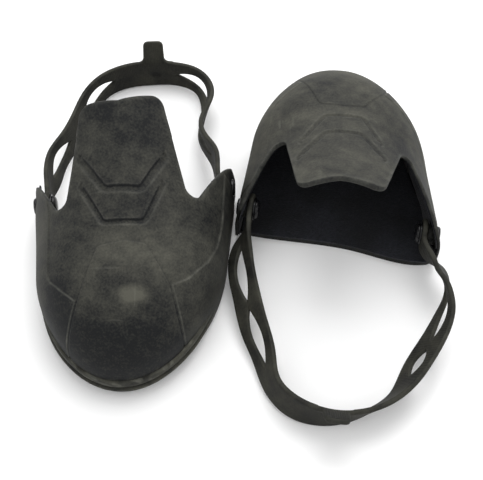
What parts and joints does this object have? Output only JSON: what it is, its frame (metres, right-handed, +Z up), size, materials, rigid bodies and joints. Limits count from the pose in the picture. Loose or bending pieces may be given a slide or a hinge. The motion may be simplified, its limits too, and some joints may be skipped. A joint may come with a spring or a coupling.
{
  "type": "safety toe overshoe pair",
  "caption": "Pair of slip-on black rubber toe-cap overshoes, left and right, open at the rear, each held by a slotted rubber heel strap with a pull tab",
  "frame": {"origin": "centre of the pair's footprint on the floor", "axes": "+Z up; the left overshoe's toe points to -Y, the right overshoe's toe to +Y; +X from the left overshoe to the right one"},
  "size_m": [0.256, 0.2826, 0.094],
  "materials": {
    "upper_rubber": "matte moulded rubber with dusty olive scuffs",
    "sole_rubber": "matte moulded rubber, dusty at the edges",
    "strap_rubber": "matte moulded rubber with fine cross ribs",
    "lining_nap": "napped dark blue-black textile",
    "footbed_felt": "felted dark textile",
    "cap_steel": "pressed sheet steel",
    "strip_plastic": "soft black plastic",
    "rivet_black": "glossy black coated rivet"
  },
  "bodies": {
    "left_overshoe": {"left_outsole": "sole_rubber", "left_insole": "footbed_felt", "left_toe_rim": "sole_rubber", "left_upper_shell": "upper_rubber", "left_toe_cap": "cap_steel", "left_toe_cap_strip": "strip_plastic", "left_lining": "lining_nap", "left_medial_rivet_post": "rivet_black", "left_medial_rivet_washer": "rivet_black", "left_medial_rivet_cap": "rivet_black", "left_lateral_rivet_post": "rivet_black", "left_lateral_rivet_washer": "rivet_black", "left_lateral_rivet_cap": "rivet_black"},
    "left_strap": {"left_heel_strap": "strap_rubber"},
    "right_overshoe": {"right_outsole": "sole_rubber", "right_insole": "footbed_felt", "right_toe_rim": "sole_rubber", "right_upper_shell": "upper_rubber", "right_toe_cap": "cap_steel", "right_toe_cap_strip": "strip_plastic", "right_lining": "lining_nap", "right_medial_rivet_post": "rivet_black", "right_medial_rivet_washer": "rivet_black", "right_medial_rivet_cap": "rivet_black", "right_lateral_rivet_post": "rivet_black", "right_lateral_rivet_washer": "rivet_black", "right_lateral_rivet_cap": "rivet_black"},
    "right_strap": {"right_heel_strap": "strap_rubber"}
  },
  "joints": [
    {"name": "left_strap_swing", "type": "hinge", "parent": "left_overshoe", "child": "left_strap", "pos_m": [-0.06543, 0.01281, 0.024], "axis": [0.9926, 0.1214, 0], "range_deg": [0, 50]},
    {"name": "right_overshoe_lift", "type": "slide", "parent": "left_overshoe", "child": "right_overshoe", "axis": [0, 0, 1], "range_m": [0, 0.12]},
    {"name": "right_strap_swing", "type": "hinge", "parent": "right_overshoe", "child": "right_strap", "pos_m": [0.06039, -0.0051, 0.024], "axis": [-0.9846, 0.1749, 0], "range_deg": [0, 50]}
  ]
}
